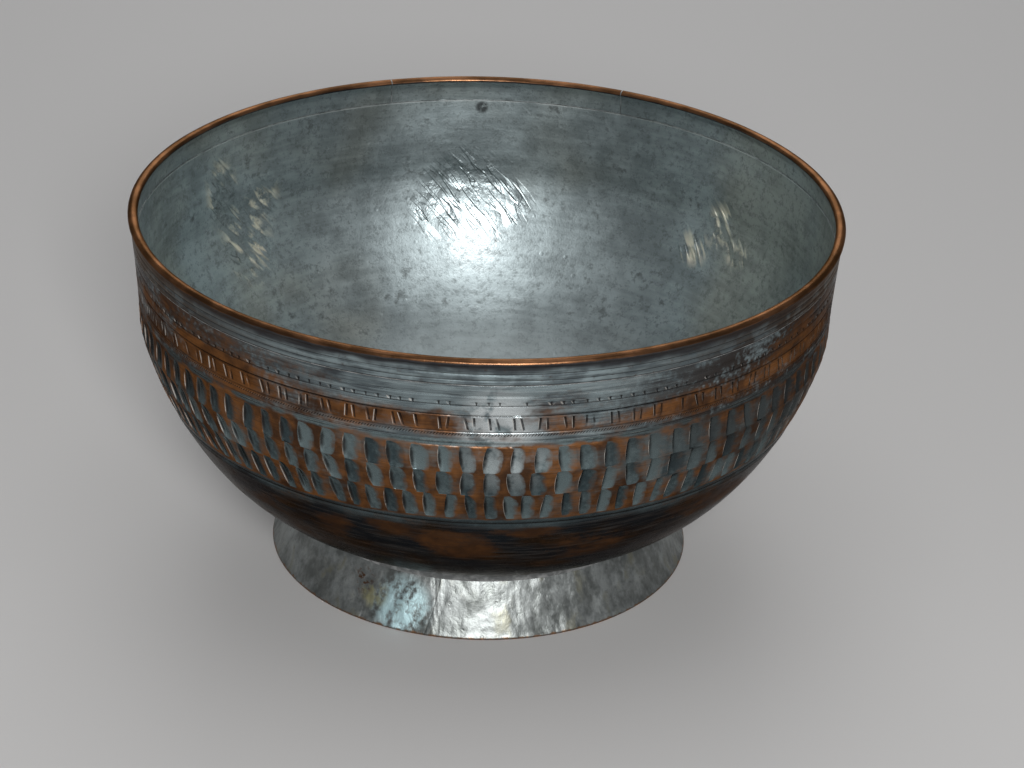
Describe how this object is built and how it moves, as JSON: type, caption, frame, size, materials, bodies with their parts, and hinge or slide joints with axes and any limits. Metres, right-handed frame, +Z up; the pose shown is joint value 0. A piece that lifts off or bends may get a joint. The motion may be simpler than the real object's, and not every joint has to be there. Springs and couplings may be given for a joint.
{
  "type": "tinned copper footed bowl",
  "caption": "Deep round copper bowl, tinned, with a brazed rim band, rows of chased oval marks round the body and a flared foot ring soldered underneath.",
  "frame": {"origin": "centre of the foot ring's lower edge, on the surface that the bowl stands on", "axes": "+Z up along the bowl's axis, -Y towards the front that the picture shows, the two rim seams at the back"},
  "size_m": [0.2398, 0.24, 0.1272],
  "materials": {
    "worn_tin_on_copper": "hand tinned copper, blue grey with brown patina, worn through to copper on the raised lands",
    "bare_copper": "handled copper, rubbed bright on the lip",
    "bright_tin_on_copper": "wiped tin over hammered copper, brushed and a little dented",
    "solder": "dull soft solder"
  },
  "bodies": {
    "root": {"bowl_shell": "worn_tin_on_copper", "rim_band_long": "bare_copper", "rim_band_insert": "bare_copper", "foot_ring": "bright_tin_on_copper", "foot_solder_outer": "solder", "foot_solder_inner": "solder"}
  },
  "joints": []
}
